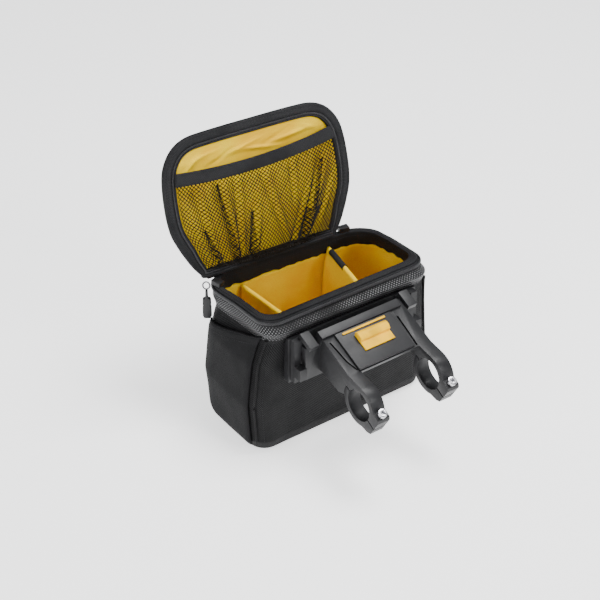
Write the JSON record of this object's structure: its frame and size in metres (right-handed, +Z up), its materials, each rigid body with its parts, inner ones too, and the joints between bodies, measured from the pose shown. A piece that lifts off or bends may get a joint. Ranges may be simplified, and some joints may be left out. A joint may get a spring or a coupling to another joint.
{
  "type": "bicycle handlebar bag",
  "caption": "Boxy padded handlebar bag standing open, lid with net pocket raised, inner dividers, side pockets and a quick-release bracket clamped for the bar.",
  "frame": {"origin": "middle of the flat floor the bag stands on", "axes": "+Z up, +Y from the rider's side with the bracket towards the front where the lid hinges, +X to the rider's right"},
  "size_m": [0.2363, 0.2513, 0.2949],
  "materials": {
    "cloth": "dark grey-black woven nylon, matte",
    "coarse_cloth": "coarse black ballistic weave with a dull sheen",
    "binding": "dark grey edge tape, matte",
    "yellow_lining": "warm yellow lining cloth, matte",
    "net": "black elastic net",
    "zip_coil": "black nylon coil, slightly shiny",
    "plastic": "dark grey moulded plastic, satin",
    "button_yellow": "yellow moulded plastic, smooth",
    "steel": "bright steel"
  },
  "bodies": {
    "bag": {"bag_mount": "plastic", "body_shell": "cloth", "body_zip_coil": "zip_coil", "bracket": "plastic", "clamp_bolt_left": "steel", "clamp_bolt_right": "steel", "clamp_cap_left": "plastic", "clamp_cap_right": "plastic", "corner_piping_left": "cloth", "corner_piping_right": "cloth", "divider_left": "yellow_lining", "divider_right": "yellow_lining", "divider_tab": "binding", "lid_binding": "binding", "lid_facing": "binding", "lid_hinge": "cloth", "lid_lining": "yellow_lining", "lid_shell": "cloth", "lid_zip_coil": "zip_coil", "liner": "yellow_lining", "mesh_pocket": "net", "mouth_facing": "binding", "pocket_band": "binding", "release_cover": "plastic", "shoulder_piping": "coarse_cloth", "side_pocket_left": "cloth", "side_pocket_right": "cloth", "zip_pull": "plastic", "zip_ring": "steel", "zip_slider_left": "zip_coil", "zip_slider_right": "zip_coil"},
    "button": {"release_button": "button_yellow", "latch_strip": "button_yellow"}
  },
  "joints": [
    {"name": "release_slide", "type": "slide", "parent": "bag", "child": "button", "axis": [0, -0.9272, -0.3746], "range_m": [0, 0.005], "stiffness_N_per_m": 300, "springref_m": -0.001}
  ]
}
